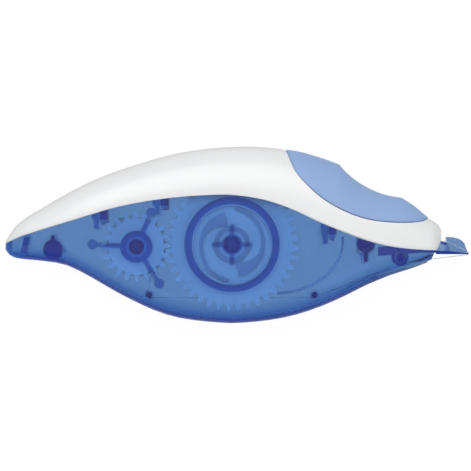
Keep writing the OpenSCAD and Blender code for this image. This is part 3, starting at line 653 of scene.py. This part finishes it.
# Inner pieces keep their solids
# The clutch spring gets painted shade
dress(nodes["clutch_spring"], spring)
for node in ("supply_gear", "supply_core", "supply_flange",
             "takeup_gear", "takeup_core", "takeup_flange"):
    dress(nodes[node], natural)
for node in ("supply_tape", "tape_feed"):
    dress(nodes[node], coated)
for node in ("takeup_tape", "tape_return"):
    dress(nodes[node], bare)

# Camera, as the photo's straight side view
VIEW_W = 126.2
VIEW_AT = (0.94, 2.39)
VIEW_FAR = 1000
SENSOR = 36
camera_data = bpy.data.cameras.new("camera")
camera_data.sensor_width = SENSOR
camera_data.lens = SENSOR * VIEW_FAR / VIEW_W
camera_data.clip_end = 20
camera = bpy.data.objects.new("camera", camera_data)
camera.location = (VIEW_AT[0] * MM, VIEW_AT[1] * MM, (HALF_W + VIEW_FAR) * MM)
bpy.context.scene.collection.objects.link(camera)
bpy.context.scene.camera = camera


# Stage: a pale floor under the part, a white world and soft lights
FLOOR = 1.5
FLOOR_DROP = 0.0002
FLOOR_WHITE = 0.93
# The white floor as it is seen through the part, in the part's own shadow
SHADED_FLOOR = 0.56

floor_mesh = bpy.data.meshes.new("floor")
floor_mesh.from_pydata(
    [(-FLOOR, -FLOOR, 0), (FLOOR, -FLOOR, 0), (FLOOR, FLOOR, 0), (-FLOOR, FLOOR, 0)], [], [(0, 1, 2, 3)])
floor = bpy.data.objects.new("floor", floor_mesh)
floor.location.z = -FLOOR_DROP
bpy.context.scene.collection.objects.link(floor)
floor_material, floor_tree, floor_shader = new_material("pale_floor")
floor_shader.inputs["Base Color"].default_value = (0.9, 0.9, 0.9, 1)
floor_shader.inputs["Roughness"].default_value = 0.9
floor_shader.inputs["Specular IOR Level"].default_value = 0
path = floor_tree.nodes.new("ShaderNodeLightPath")
output = floor_tree.nodes["Material Output"]


def show_colour(ray, colour, strength, share, under):
    """Shows a plain colour to one kind of ray, over another shader."""
    glow = floor_tree.nodes.new("ShaderNodeEmission")
    glow.inputs["Color"].default_value = (*colour, 1)
    glow.inputs["Strength"].default_value = strength
    part = floor_tree.nodes.new("ShaderNodeMath")
    part.operation = "MULTIPLY"
    part.inputs[1].default_value = share
    blend = floor_tree.nodes.new("ShaderNodeMixShader")
    floor_tree.links.new(path.outputs[ray], part.inputs[0])
    floor_tree.links.new(part.outputs[0], blend.inputs[0])
    floor_tree.links.new(under, blend.inputs[1])
    floor_tree.links.new(glow.outputs[0], blend.inputs[2])
    return blend.outputs[0]


floor_look = show_colour("Is Camera Ray", (1, 1, 1), 1.03, FLOOR_WHITE, floor_shader.outputs[0])
floor_look = show_colour("Is Glossy Ray", (1, 1, 1), 0.45, 1, floor_look)
floor_look = show_colour("Is Transmission Ray", (1, 1, 1), SHADED_FLOOR, 1, floor_look)
floor_tree.links.new(floor_look, output.inputs["Surface"])
floor_mesh.materials.append(floor_material)

world = bpy.data.worlds.new("studio")
world.use_nodes = True
world_tree = world.node_tree
sky = world_tree.nodes["Background"]
sky.inputs["Color"].default_value = (1, 1, 1, 1)
way = world_tree.nodes.new("ShaderNodeTexCoord")
height = world_tree.nodes.new("ShaderNodeSeparateXYZ")
rise = world_tree.nodes.new("ShaderNodeMapRange")
rise.inputs["To Min"].default_value = 0.2
rise.inputs["To Max"].default_value = 0.6
world_tree.links.new(way.outputs["Generated"], height.inputs[0])
world_tree.links.new(height.outputs["Z"], rise.inputs["Value"])
seen = world_tree.nodes.new("ShaderNodeLightPath")
plain = world_tree.nodes.new("ShaderNodeMath")
plain.operation = "MAXIMUM"
world_tree.links.new(seen.outputs["Is Camera Ray"], plain.inputs[0])
world_tree.links.new(rise.outputs["Result"], plain.inputs[1])
world_tree.links.new(plain.outputs[0], sky.inputs["Strength"])
bpy.context.scene.world = world


def add_softbox(name, at, size, watts):
    data = bpy.data.lights.new(name, "AREA")
    data.size = size
    data.energy = watts
    lamp = bpy.data.objects.new(name, data)
    lamp.location = at
    lamp.rotation_euler = (-Vector(at)).to_track_quat("-Z", "Y").to_euler()
    bpy.context.scene.collection.objects.link(lamp)


add_softbox("key", (-0.1, 0.5, 0.85), 0.7, 4.0)
add_softbox("front", (0, 0.1, 1.3), 1.5, 3.0)
add_softbox("low_left", (-0.45, -0.5, 0.6), 0.5, 0.6)

bpy.context.scene.view_settings.view_transform = "Standard"
